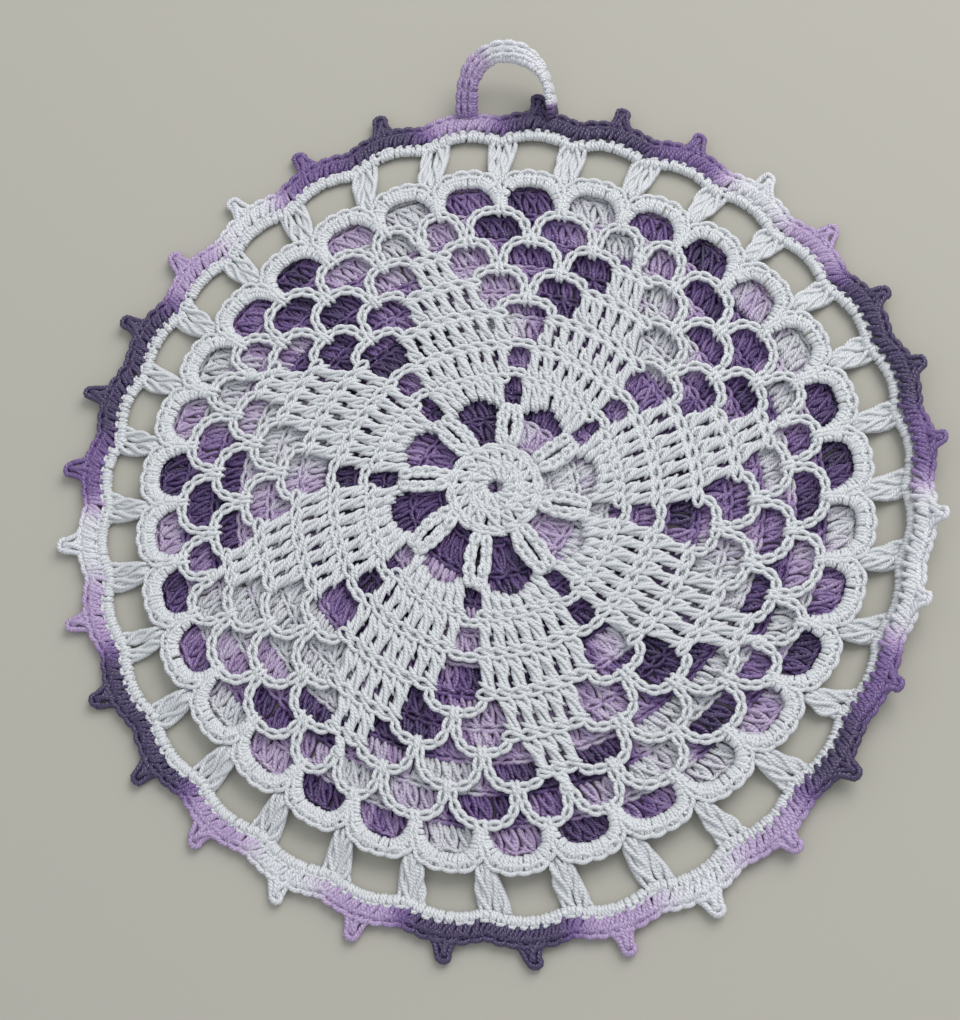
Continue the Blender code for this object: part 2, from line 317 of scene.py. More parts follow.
CHAIN_LOOP = (
    (0.0, 0.0, -0.42),
    (0.32, 0.3, 0.02),
    (0.75, 0.66, 0.28),
    (1.2, 0.52, 0.26),
    (1.46, 0.0, 0.0),
    (1.2, -0.52, 0.26),
    (0.75, -0.66, 0.28),
    (0.32, -0.3, 0.02),
    (0.12, -0.05, -0.28),
    (0.5, 0.0, -0.42),
    (1.0, 0.0, -0.42),
)
PICOT_STRANDS = (
    ((-4.2, -0.32, -0.2), (-2.75, -0.06, 0.15), (-1.75, 0.2, 0.2), (-1.2, 0.6, 0.15), (-0.88, 0.93, -0.05)),
    ((4.2, -0.32, -0.2), (2.65, -0.06, 0.15), (1.7, 0.22, 0.28), (1.18, 0.6, 0.25), (0.9, 0.92, 0.1)),
    ((-2.2, -0.3, -0.15), (-1.3, 0.02, 0.35), (-0.48, 0.3, 0.48), (0.22, 0.6, 0.42), (0.45, 0.9, 0.05)),
    ((2.3, -0.3, -0.15), (1.35, 0.0, 0.3), (0.5, 0.28, 0.2), (-0.2, 0.56, 0.25), (-0.52, 0.88, 0.05)),
    ((0.0, -0.3, -0.05), (0.05, 0.0, 0.28), (0.0, 0.25, 0.42), (0.0, 0.55, 0.45), (0.0, 0.86, 0.32)),
    ((-1.1, 0.6, 0.2), (-0.92, 0.92, 0.3), (0.02, 1.01, 0.3), (0.95, 0.91, 0.22), (1.12, 0.6, 0.05)),
)
KNOT_STRANDS = (
    ((-0.62, 0.0, -0.5), (-0.66, 0.14, 0.15), (-0.52, 0.45, 0.52), (-0.4, 0.8, 0.3), (-0.55, 1.0, -0.45)),
    ((0.5, 0.0, -0.5), (0.48, 0.16, 0.18), (0.36, 0.5, 0.6), (0.5, 0.84, 0.3), (0.7, 1.0, -0.45)),
)
KNOT_REACH = 0.017      # half the height of a knot over an arch, as a share of TIP_RADIUS
KNOT_LEAN = 0.4         # degrees
LOWER_STROKE = (
    (-1.65, 0.8, -0.15),
    (-0.85, 0.76, 0.3),
    (0.0, 0.7, 0.48),
    (0.9, 0.62, 0.32),
    (1.6, 0.55, -0.2),
)
UPPER_STROKE = (
    (-1.7, 0.93, -0.2),
    (-0.85, 0.9, 0.12),
    (0.0, 0.84, 0.22),
    (0.95, 0.77, 0.12),
    (1.7, 0.71, -0.2),
)
FOOT_STROKE = (
    (-1.65, 0.36, -0.3),
    (-0.85, 0.27, 0.2),
    (0.0, 0.17, 0.36),
    (0.8, 0.08, 0.22),
    (1.45, -0.02, -0.25),
)
STITCH_LEAN = 0.5       # millimetres that a foot is moved clockwise and a head back
STITCH_PITCH = 3.1      # millimetres between stitches that the strands across are drawn for
# From the heads back to the middle of their chain of loops, as a share of TIP_RADIUS.
BAND_BACK = 1.15 * MM / TIP_RADIUS
THREE_LEGS = ((0.06, 0.20), (0.40, 0.46), (0.74, 0.74))
FOUR_LEGS = ((0.04, 0.12), (0.30, 0.34), (0.55, 0.58), (0.80, 0.82))
POST_PLIES = 3
POST_UP = 0.14          # millimetres up of a post's middle, and half of its height
POST_HALF = 0.32
FOOT_DIVE = 0.60        # millimetres that its foot and head go down
HEAD_DIVE = 0.45
POST_WIDENS = 0.60      # share of the height by which it has the head's width
POST_DIVE = 0.14        # share of the height over which a post's ends go under the chains
CORE_START = -0.10      # share of the height at which a post's straight strands start
CORE_UP = -0.26         # millimetres up of the straight strands, and how much thicker they are
CORE_THICK = 1.4
STITCH_HEIGHT = 7.0     # millimetres from foot to head of a double crochet
STITCH_PLAY = 0.16
WIDTH_PLAY = 0.4        # share of a stitch's play by which it is also wider
SPOT_PLAY = 0.15        # millimetres that feet and heads are moved
OVERLAP = 0.45          # share of a stitch by which a loop goes on into the next
TAPER_SHARE = 0.30      # share of a line over which its end widens
PITCH_LIMITS = (0.25, 1.35)
FULL_WIDTH = (1.0, 1.0)
CURVE_STEPS = 16
LINE_POINTS = 61


def even_strand(points, rings, scale):
    """Catmull-Rom curve through the points, cut into rings that are even when it is scaled by this much."""
    points = np.array(points) * scale
    ends = np.vstack([2 * points[0] - points[1], points, 2 * points[-1] - points[-2]])
    spans = len(points) - 1
    at = np.linspace(0, spans, CURVE_STEPS * spans + 1)
    span = np.minimum(at.astype(int), spans - 1)
    t = (at - span)[:, None]
    a, b, c, d = (ends[span + step] for step in range(4))
    square = (2 * a - 5 * b + 4 * c - d) * t**2
    cube = (3 * b - a - 3 * c + d) * t**3
    curve = 0.5 * (2 * b + (c - a) * t + square + cube)
    length = np.concatenate([[0], np.cumsum(np.linalg.norm(np.diff(curve, axis=0), axis=1))])
    even = np.linspace(0, length[-1], rings)
    return np.stack([np.interp(even, length, curve[:, axis]) for axis in range(3)], axis=1) / scale


Strands = namedtuple("Strands", "paths shade thick")


def post_arch(share):
    """0 at a post's foot and head and 1 in its middle, as a sine."""
    return np.sin(math.pi * np.clip(share, 0, 1))


def post_strands(
    rings, turn=0.75, foot_wide=1.18, head_wide=0.95, bow=0.0, end=0.82, waist=0.0, under=(-0.5, 0.5)
):
    """Strands that wind round a post, and straight thicker ones under them, at these shares of its width.

    Each strand goes round by the turn, on a circle flattened to the sheet that narrows from foot to
    head. Both ends dive under the chains there. The bow moves the middle across, and the waist is
    the share by which it is narrower."""

    def width(share):
        wide = foot_wide + (head_wide - foot_wide) * smooth(0.0, POST_WIDENS, share)
        return wide * (1 - waist * post_arch(share) ** 2)

    share = np.linspace(-POST_DIVE, end, rings)
    dive = FOOT_DIVE * (1 - smooth(-POST_DIVE, 0.05, share))
    dive = dive + HEAD_DIVE * smooth(end - POST_DIVE, end, share)
    made = []
    for number in range(POST_PLIES):
        phase = 2 * math.pi * (number / POST_PLIES + turn * share)
        across = width(share) * np.cos(phase) + bow * post_arch(share)
        up = POST_UP + POST_HALF * np.sin(phase) - dive
        made.append((np.stack([across, share, up], axis=1), 1.0))
    share = np.linspace(CORE_START, end - 0.02, max(rings // 2, 4))
    for side in under:
        across = side * width(share) + bow * post_arch(share)
        made.append((np.stack([across, share, np.full(len(share), CORE_UP)], axis=1), CORE_THICK))
    return made


def stitch_strands(strand, thick, foot, head, height, shading, draw, width):
    """Copies of one strand from feet to heads, both (count, 2) of radius and bearing.

    A point lies at the share of the way from foot to head, moved clockwise by its millimetres
    across and raised by its millimetres up. The width scales what is across, from its first value
    at the foot to its second at the head. Each copy is moved and scaled a little on its own."""
    count = len(foot)
    loose = draw.normal(0, STITCH_PLAY, (count, 3))
    share = strand[:, 1] + 0 * loose[:, :1]
    spread = width[0] + (width[1] - width[0]) * share
    across = strand[:, 0] * spread * (1 + WIDTH_PLAY * loose[:, :1]) + loose[:, 1:2] * spread
    up = strand[:, 2] * (1 + loose[:, 2:])
    radius = foot[:, :1] + (head[:, :1] - foot[:, :1]) * share
    bearing = foot[:, 1:] + (head[:, 1:] - foot[:, 1:]) * share
    bearing = bearing + np.degrees(across * MM / (np.maximum(radius, SMALLEST_RADIUS) * TIP_RADIUS))
    x, y = place(radius, bearing)
    z = height(radius, bearing) + up * MM
    return Strands(np.stack([x, y, z], axis=2), shading(radius, bearing) + 0 * x, thick)


def pitch_widths(foot, head, foot_degrees, head_degrees):
    """Width of a stitch at its foot and head, as a share of the pitch that the strands are drawn for."""
    pair = (foot * math.radians(foot_degrees), head * math.radians(head_degrees))
    return tuple(np.clip(arc * TIP_RADIUS / MM / STITCH_PITCH, *PITCH_LIMITS) for arc in pair)


Line = namedtuple("Line", "centre side up length closed spots")


def sheet_line(radius, bearing, height, closed=False):
    """A line in the sheet: its centre, the direction out of its left side, and straight up."""
    x, y = place(radius, bearing)
    centre = np.stack([x, y, height(radius, bearing)], axis=1)
    up = np.tile((0.0, 0.0, 1.0), (len(x), 1))
    return framed_line(centre, up, closed, spots_at(radius, bearing))


def framed_line(centre, up, closed, spots):
    """A line with its own upward direction: side is up crossed with the tangent."""
    tangent = np.gradient(centre, axis=0)
    if closed:
        tangent[0] = tangent[-1] = centre[1] - centre[-2]
    tangent /= np.linalg.norm(tangent, axis=1, keepdims=True)
    side = np.cross(up, tangent)
    side /= np.linalg.norm(side, axis=1, keepdims=True)
    steps = np.linalg.norm(np.diff(centre, axis=0), axis=1)
    return Line(centre, side, up, np.concatenate([[0], np.cumsum(steps)]), closed, spots)


def round_line(head, points, height):
    """A closed line of loops round the sheet, a little inside the heads at this radius."""
    bearing = np.linspace(0, FULL_TURN, points)
    return sheet_line(np.full(points, head - BAND_BACK), bearing, height, closed=True)


def line_strands(
    strand, line, count, shading, draw,
    outward=0.0, overlap=OVERLAP, raised=0.0, thick=1.0, taper=0.0, play=0.06,
):
    """Count copies of one strand along a line, a stitch apart.

    A point lies at its share of the stitch along the line, moved out of the line's side by its
    millimetres and up by its millimetres. On an open line the last stitch ends at the line's end.
    The taper is the share by which both ends are narrower."""
    total = line.length[-1]
    pitch = total / (count if line.closed else count + overlap)
    loose = draw.normal(0, play, (count, 3))
    at = (np.arange(count)[:, None] + strand[:, 0] + loose[:, :1]) * pitch
    if line.closed:
        at = at % total
    from_end = np.minimum(at, total - at) / total
    narrow = 1 - taper * (1 - smooth(0.0, TAPER_SHARE, from_end))
    out = (strand[:, 1] * (1 + loose[:, 1:2]) + outward) * MM * narrow
    up = (strand[:, 2] + loose[:, 2:] + raised) * MM

    def along(values):
        return np.stack([np.interp(at, line.length, column) for column in values.T], axis=2)

    beyond = (np.clip(at - total, 0, None) + np.clip(at, None, 0))[..., None]
    tangent = np.cross(along(line.side), along(line.up))
    points = along(line.centre) + along(line.side) * out[..., None] + along(line.up) * up[..., None]
    points = points + tangent * beyond
    spots = along(line.spots)
    return Strands(points, shading(spots[..., 0], spots[..., 1]), thick)


def arch_line(arch, sector, height, bulge=ARCH_BULGE):
    """An arch of the network: a superellipse from foot to foot over its crest."""
    turn = np.linspace(math.pi, 0, LINE_POINTS)
    across = np.sign(np.cos(turn)) * np.abs(np.cos(turn)) ** (2 / bulge)
    rise = np.abs(np.sin(turn)) ** (2 / bulge)
    share = (across + 1) / 2
    base = arch.left.radius + (arch.right.radius - arch.left.radius) * share
    radius = base + (arch.crest - base) * rise
    offset = arch.left.offset + (arch.right.offset - arch.left.offset) * share
    bearing = axis_bearing(radius) + offset + FULL_TURN / SECTORS * sector
    return sheet_line(radius, bearing, height)


def white(radius, bearing):
    """Shade of the white thread."""
    return 0 * radius


# ------------------------ meshes


START_SIDE = (0.31, 0.17, 0.93)
END_NARROW = 0.55
THREAD_STAGGER = 0.37       # millimetres of thread between the starts of a block's strands


def tube_parts(strands, radius, sides):
    """Vertices, quads, end faces, uv and shade of one block of strands.

    Rings of sides corners stand square to each path, turned no more than the path turns, and
    narrow at both ends. U is millimetres along the thread and V the share of the way round it."""
    paths = strands.paths
    count, rings, _ = paths.shape
    tangent = np.gradient(paths, axis=1)
    tangent /= np.linalg.norm(tangent, axis=2, keepdims=True) + 1e-12
    side = np.empty_like(paths)
    side[:, 0] = np.cross(tangent[:, 0], START_SIDE)
    side[:, 0] /= np.linalg.norm(side[:, 0], axis=1, keepdims=True)
    for ring in range(1, rings):
        turned = side[:, ring - 1]
        turned = turned - tangent[:, ring] * np.sum(turned * tangent[:, ring], axis=1, keepdims=True)
        side[:, ring] = turned / np.linalg.norm(turned, axis=1, keepdims=True)
    other = np.cross(tangent, side)
    angle = 2 * math.pi * np.arange(sides) / sides
    thick = np.full(rings, radius * strands.thick)
    thick[[0, -1]] *= END_NARROW
    ring_out = np.cos(angle)[:, None] * side[:, :, None] + np.sin(angle)[:, None] * other[:, :, None]
    points = paths[:, :, None] + ring_out * thick[:, None, None]
    corner = np.arange(count * rings * sides).reshape(count, rings, sides)
    after = np.roll(corner, -1, axis=2)
    quads = np.stack([corner[:, :-1], after[:, :-1], after[:, 1:], corner[:, 1:]], axis=3)
    caps = np.stack([corner[:, 0, ::-1], corner[:, -1]], axis=1)
    steps = np.linalg.norm(np.diff(paths, axis=1), axis=2) / MM
    along = np.concatenate([np.zeros((count, 1)), np.cumsum(steps, axis=1)], axis=1)
    along = along + np.arange(count)[:, None] * THREAD_STAGGER
    u = np.repeat(along[:, :, None], sides, axis=2)
    quad_u = np.stack([u[:, :-1], u[:, :-1], u[:, 1:], u[:, 1:]], axis=3)
    v = np.arange(sides) / sides
    quad_v = np.broadcast_to(np.stack([v, v + 1 / sides, v + 1 / sides, v], axis=1), quad_u.shape)
    cap_u = np.stack([u[:, 0, ::-1], u[:, -1]], axis=1)
    cap_v = np.broadcast_to(v, cap_u.shape)
    quad_uv = np.stack([quad_u, quad_v], axis=-1).reshape(-1, 2)
    cap_uv = np.stack([cap_u, cap_v], axis=-1).reshape(-1, 2)
    shade = np.repeat(strands.shade[:, :, None], sides, axis=2)
    points = points.reshape(-1, 3)
    return points, quads.reshape(-1, 4), caps.reshape(-1, sides), quad_uv, cap_uv, shade.ravel()


def thread_mesh(name, blocks, radius, sides):
    """One mesh of all the blocks of strands, with a uv map and a shade attribute.

    Points that would lie under the floor are moved up onto it."""
    parts = [tube_parts(block, radius, sides) for block in blocks]
    starts = np.cumsum([0] + [len(part[0]) for part in parts[:-1]])
    points = np.concatenate([part[0] for part in parts])
    points[:, 2] = np.maximum(points[:, 2], 0.0)
    quads = np.concatenate([part[1] + start for part, start in zip(parts, starts)])
    caps = np.concatenate([part[2] + start for part, start in zip(parts, starts)])
    uv = np.concatenate([part[3] for part in parts] + [part[4] for part in parts])
    corners = np.concatenate([quads.ravel(), caps.ravel()])
    sizes = np.concatenate([np.full(len(quads), 4), np.full(len(caps), sides)])
    mesh = bpy.data.meshes.new(name)
    mesh.vertices.add(len(points))
    mesh.vertices.foreach_set("co", points.ravel())
    mesh.loops.add(len(corners))
    mesh.loops.foreach_set("vertex_index", corners)
    mesh.polygons.add(len(sizes))
    mesh.polygons.foreach_set("loop_start", np.concatenate([[0], np.cumsum(sizes)[:-1]]))
    mesh.polygons.foreach_set("use_smooth", np.ones(len(sizes), bool))
    mesh.update(calc_edges=True)
    layer = mesh.uv_layers.new(name="thread")
    layer.uv.foreach_set("vector", uv.ravel())
    shade = mesh.attributes.new("shade", "FLOAT", "POINT")
    shade.data.foreach_set("value", np.concatenate([part[5] for part in parts]))
    if mesh.validate():
        raise RuntimeError(f"{name}: the mesh had faults")
    return mesh


def new_piece(name, blocks, shaded, *nodes, sides=5):
    """One object of these strands, riding on the only body and standing for its solids."""
    sizes = bpy.context.scene.crochet_sizes
    mesh = thread_mesh(name, blocks, sizes.thread / 2, sides)
    material_name, slot = COTTONS[shaded]
    mesh.materials.append(thread_material(material_name, shaded))
    piece = bpy.data.objects.new(name, mesh)
    bpy.context.scene.collection.objects.link(piece)
    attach(piece, "root")
    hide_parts(*nodes)
    length = sum(np.linalg.norm(np.diff(block.paths, axis=1), axis=2).sum() for block in blocks)
    triangles = sum(len(polygon.vertices) - 2 for polygon in mesh.polygons)
    print(f"{name}: {length:.1f} m of thread, {triangles} triangles")


# ------------------------ materials

RAMP_START = 0.5
FIBRE_ALONG = 3.0
FIBRE_ROUND = 1.6
FIBRE_HEIGHT = 0.9
RIDGE_HEIGHT = 0.00016
# Painted sparkle, partly: how far the fibre noise moves the shaded thread's colour along its ramp. This is
# partly the fibres' own random tone and partly painted highlights.
FLECKS_AND_SPARKLE = 0.9
PATCH_SCALE = 60.0
# Painted shade in the grooves between the plies: how strongly they are darkened, and the colour they are
# darkened by.
GROOVE_PAINTED_SHADE = 0.15
GROOVE_SHADE_COLOUR = (0.35, 0.34, 0.40)
SPECULAR = 0.75
WHITE_SHEEN = 0.15
SHEEN_ROUGHNESS = 0.4


def socket(group, name, direction, kind, value=None):
    """A named socket of a node group."""
    made = group.interface.new_socket(name=name, in_out=direction, socket_type=kind)
    if value is not None:
        made.default_value = value
    return made


def maths(tree, operation, *values):
    """A Math node; each value is a number or a socket."""
    node = tree.nodes.new("ShaderNodeMath")
    node.operation = operation
    for index, value in enumerate(values):
        if isinstance(value, (int, float)):
            node.inputs[index].default_value = value
        else:
            tree.links.new(value, node.inputs[index])
    return node.outputs[0]


def mix_colour(tree, factor, first, second, blend="MIX"):
    """A colour Mix node; factor and colours are values or sockets."""
    node = tree.nodes.new("ShaderNodeMix")
    node.data_type = "RGBA"
    node.blend_type = blend
    for index, value in ((0, factor), (6, first), (7, second)):
        if isinstance(value, (int, float)):
            node.inputs[index].default_value = value
        elif isinstance(value, tuple):
            node.inputs[index].default_value = (*value[:3], 1.0)
        else:
            tree.links.new(value, node.inputs[index])
    return node.outputs[2]


def plied_thread_group():
    """Node group: ridges of a plied thread from its uv map, with fine fibres, as masks and a normal."""
    group = bpy.data.node_groups.get("plied_thread")
    if group:
        return group
    group = bpy.data.node_groups.new("plied_thread", "ShaderNodeTree")
    socket(group, "Vector", "INPUT", "NodeSocketVector")
    socket(group, "Plies", "INPUT", "NodeSocketFloat", 3.0)
    socket(group, "Spacing", "INPUT", "NodeSocketFloat", 0.72)
    socket(group, "Depth", "INPUT", "NodeSocketFloat", 0.8)
    socket(group, "Groove", "OUTPUT", "NodeSocketFloat")
    socket(group, "Fibre and sparkle", "OUTPUT", "NodeSocketFloat")
    socket(group, "Normal", "OUTPUT", "NodeSocketVector")
    entry = group.nodes.new("NodeGroupInput")
    leave = group.nodes.new("NodeGroupOutput")
    parts = group.nodes.new("ShaderNodeSeparateXYZ")
    group.links.new(entry.outputs["Vector"], parts.inputs[0])
    turns = maths(group, "DIVIDE", parts.outputs["X"], entry.outputs["Spacing"])
    round_it = maths(group, "MULTIPLY", parts.outputs["Y"], entry.outputs["Plies"])
    phase = maths(group, "MULTIPLY", maths(group, "ADD", turns, round_it), math.pi)
    ridge = maths(group, "ABSOLUTE", maths(group, "SINE", phase))
    groove = maths(group, "POWER", maths(group, "SUBTRACT", 1.0, ridge), 2.0)
    group.links.new(groove, leave.inputs["Groove"])
    noise = group.nodes.new("ShaderNodeTexNoise")
    noise.inputs["Scale"].default_value = 1.0
    noise.inputs["Detail"].default_value = 3.0
    stretch = group.nodes.new("ShaderNodeCombineXYZ")
    group.links.new(maths(group, "MULTIPLY", parts.outputs["X"], FIBRE_ALONG), stretch.inputs["X"])
    group.links.new(maths(group, "MULTIPLY", phase, FIBRE_ROUND), stretch.inputs["Y"])
    group.links.new(stretch.outputs[0], noise.inputs["Vector"])
    group.links.new(noise.outputs["Fac"], leave.inputs["Fibre and sparkle"])
    bump = group.nodes.new("ShaderNodeBump")
    bump.inputs["Distance"].default_value = RIDGE_HEIGHT
    height = maths(group, "ADD", ridge, maths(group, "MULTIPLY", noise.outputs["Fac"], FIBRE_HEIGHT))
    group.links.new(height, bump.inputs["Height"])
    group.links.new(entry.outputs["Depth"], bump.inputs["Strength"])
    group.links.new(bump.outputs["Normal"], leave.inputs["Normal"])
    return group


def thread_material(name, shaded):
    """Cotton crochet thread with a soft sheen: white, or shaded by the piece's shade attribute."""
    found = bpy.data.materials.get(name)
    if found:
        return found
    colours = bpy.context.scene.crochet_colours
    material = bpy.data.materials.new(name)
    material.use_nodes = True
    tree = material.node_tree
    shader = tree.nodes["Principled BSDF"]
    uv = tree.nodes.new("ShaderNodeUVMap")
    uv.uv_map = "thread"
    plies = tree.nodes.new("ShaderNodeGroup")
    plies.node_tree = plied_thread_group()
    tree.links.new(uv.outputs["UV"], plies.inputs["Vector"])
    if shaded:
        attribute = tree.nodes.new("ShaderNodeAttribute")
        attribute.attribute_name = "shade"
        ramp = tree.nodes.new("ShaderNodeValToRGB")
        steps = tuple(zip(SHADES.values(), (colours.white, colours.lilac, colours.purple, colours.dark)))
        while len(ramp.color_ramp.elements) < len(steps):
            ramp.color_ramp.elements.new(RAMP_START)
        for element, (position, colour) in zip(ramp.color_ramp.elements, steps):
            element.position = position
            element.color = (*colour, 1.0)
        # Painted sparkle, partly: fibre noise shifts the shade lighter and darker, partly as random fibre tone
        # and partly as painted highlights on the plies.
        flecks_and_sparkle = maths(tree, "MULTIPLY", maths(tree, "SUBTRACT", plies.outputs["Fibre and sparkle"], 0.5), FLECKS_AND_SPARKLE)
        tree.links.new(maths(tree, "ADD", attribute.outputs["Fac"], flecks_and_sparkle), ramp.inputs["Fac"])
        base = ramp.outputs["Color"]
    else:
        coordinates = tree.nodes.new("ShaderNodeTexCoord")
        cloud = tree.nodes.new("ShaderNodeTexNoise")
        cloud.inputs["Scale"].default_value = PATCH_SCALE
        tree.links.new(coordinates.outputs["Object"], cloud.inputs["Vector"])
        base = mix_colour(tree, cloud.outputs["Fac"], tuple(colours.white), tuple(colours.white_shade))
    # Painted shade: the ply grooves are darkened in the base colour.
    groove_shade_mask = maths(tree, "MULTIPLY", plies.outputs["Groove"], GROOVE_PAINTED_SHADE)
    darker = mix_colour(tree, groove_shade_mask, base, GROOVE_SHADE_COLOUR, "MULTIPLY")
    tree.links.new(darker, shader.inputs["Base Color"])
    tree.links.new(plies.outputs["Normal"], shader.inputs["Normal"])
    shader.inputs["Roughness"].default_value = colours.roughness
    shader.inputs["Specular IOR Level"].default_value = SPECULAR
    shader.inputs["Sheen Weight"].default_value = 0.0 if shaded else WHITE_SHEEN
    shader.inputs["Sheen Roughness"].default_value = SHEEN_ROUGHNESS
    return material


# ------------------------ properties


class CrochetSizes(PropertyGroup):
    """Sizes of the thread and of its stitches."""

    thread: FloatProperty(
        name="Thread", description="Diameter of the thread", default=0.00100, min=0.0003, max=0.002,
        unit="LENGTH",
    )
    chain_pitch: FloatProperty(
        name="Chain stitch", description="Length of one chain stitch", default=0.0024, min=0.001,
        max=0.006, unit="LENGTH",
    )
    seed: IntProperty(
        name="Seed", description="Start of the small differences between stitches", default=7,
        min=0,
    )


COLOUR = {"subtype": "COLOR", "size": 3, "min": 0, "max": 1}


class CrochetColours(PropertyGroup):
    """Colours of the white and the shaded thread."""

    white: FloatVectorProperty(
        name="White", description="White thread",
        default=(0.705, 0.728, 0.748), **COLOUR,
    )
    white_shade: FloatVectorProperty(
        name="White, shaded", description="The white thread's darker patches",
        default=(0.645, 0.668, 0.692), **COLOUR,
    )
    lilac: FloatVectorProperty(
        name="Lilac", description="Light lilac of the shaded thread",
        default=(0.50, 0.375, 0.595), **COLOUR,
    )
    purple: FloatVectorProperty(
        name="Purple", description="Middle purple of the shaded thread",
        default=(0.172, 0.094, 0.290), **COLOUR,
    )
    dark: FloatVectorProperty(
        name="Dark purple", description="Darkest purple of the shaded thread",
        default=(0.036, 0.023, 0.078), **COLOUR,
    )
    roughness: FloatProperty(
        name="Roughness", description="Roughness of the thread", default=0.33, min=0, max=1,
    )


class CrochetStudio(PropertyGroup):
    """Floor, light and camera."""

    floor: FloatVectorProperty(
        name="Floor", description="Colour of the floor",
        default=(0.415, 0.402, 0.352), **COLOUR,
    )
    key_power: FloatProperty(
        name="Key light", description="Power of the main light", default=7.2, min=0, unit="POWER",
    )
    sky: FloatProperty(
        name="Sky", description="Strength of the light from all sides", default=0.72, min=0,
    )
    lens: FloatProperty(
        name="Lens", description="Focal length of the camera in millimetres", default=64.1, min=10,
        max=300,
    )


# ------------------------ operators


def random_draw(step):
    """Random numbers of one piece, the same in each run."""
    return np.random.default_rng([bpy.context.scene.crochet_sizes.seed, step])


def crochet_parts(rings, strokes, **post):
    """Strands of one double crochet, its post and the strokes under its head, with their thicknesses."""
    scale = (1.0, STITCH_HEIGHT, 1.0)
    parts = post_strands(rings, **post)
    for points in strokes:
        parts.append((even_strand(points, max(rings // 2 + 1, 5), scale), 1.0))
    return parts


def uneven(spots, draw):
    """The spots, each moved a little by its own random millimetres."""
    moves = draw.normal(0, SPOT_PLAY, spots.shape) * MM / TIP_RADIUS
    moves[:, 1] = np.degrees(moves[:, 1] / np.maximum(spots[:, 0], 0.1))
    return spots + moves


def stitches(parts, foot, head, height, shading, draw, width):
    """Blocks of the strands of stitches from feet to heads, each stitch a little off its place."""
    foot = uneven(foot, draw)
    head = uneven(head, draw)
    return [
        stitch_strands(points, thick, foot, head, height, shading, draw, width)
        for points, thick in parts
    ]


def stitch_spots(row, offset):
    """Feet and heads of a row's stitches, spread evenly over its half widths about its middle."""
    shares = (2 * np.arange(row.count) - (row.count - 1)) / row.count
    lean = np.degrees(STITCH_LEAN * MM / (row.head * TIP_RADIUS))
    foot_radius = row.foot + row.bow * (1 - shares**2)
    feet = spots_at(foot_radius, axis_bearing(foot_radius) + offset + row.foot_half * shares + lean)
    head_radius = row.head + 0 * shares
    heads = spots_at(head_radius, axis_bearing(head_radius) + offset + row.head_half * shares - lean)
    return feet, heads


def chain_rings(wide=1.0):
    """The chain's loop as a strand of even rings, this many times as wide."""
    return even_strand(np.array(CHAIN_LOOP) * (1.0, wide, 1.0), 16, (2.4, 1.0, 1.0))


def back_shading(number, tint):
    """Shade of one round of the back panel: its own letters, a little paler, with a tint for each stitch."""

    def shading(radius, bearing):
        # Painted light: the round's shade is made paler, against the shade under the front.
        return np.clip(BACK_PAINTED_LIGHT * shade_at(BACK_SHADING[number], bearing) + tint, 0, 1)

    return shading


class CROCHET_OT_back_panel(Operator):
    """Makes the back panel: rounds of double crochet in the shaded thread"""

    bl_idname = "crochet.back_panel"
    bl_label = "Back panel"

    def execute(self, context):
        draw = random_draw(1)
        groups = {name: [] for name, _ in BACK_GROUPS}
        parts = crochet_parts(8, (LOWER_STROKE,), turn=0.5, foot_wide=1.3, head_wide=1.28)
        chain = even_strand(CHAIN_LOOP, 12, (3.0, 1.0, 1.0))
        step = BACK_EDGE / BACK_ROUNDS
        for number in range(BACK_ROUNDS):
            count = ROUND_ADDED * (number + 1)
            apart = FULL_TURN / count
            bearing = FULL_TURN * (np.arange(count) + ROUND_SHIFT * number) / count
            foot = spots_at(max(step * number, SMALLEST_RADIUS), bearing + ROUND_LEAN)
            head = spots_at(step * (number + 1), bearing - ROUND_LEAN)
            width = pitch_widths(step * number, step * (number + 1), apart, apart)
            shading = back_shading(number, draw.normal(0, BACK_TINT, count)[:, None])
            blocks = stitches(parts, foot, head, back_height, shading, draw, width)
            line = round_line(step * (number + 1), 12 * count + 1, back_height)
            blocks.append(line_strands(chain, line, count, shading, draw))
            group = next(name for name, end in BACK_GROUPS if number < end)
            groups[group] += blocks
        for name, blocks in groups.items():
            new_piece(name, blocks, True, "back_panel", sides=4)
        return {"FINISHED"}


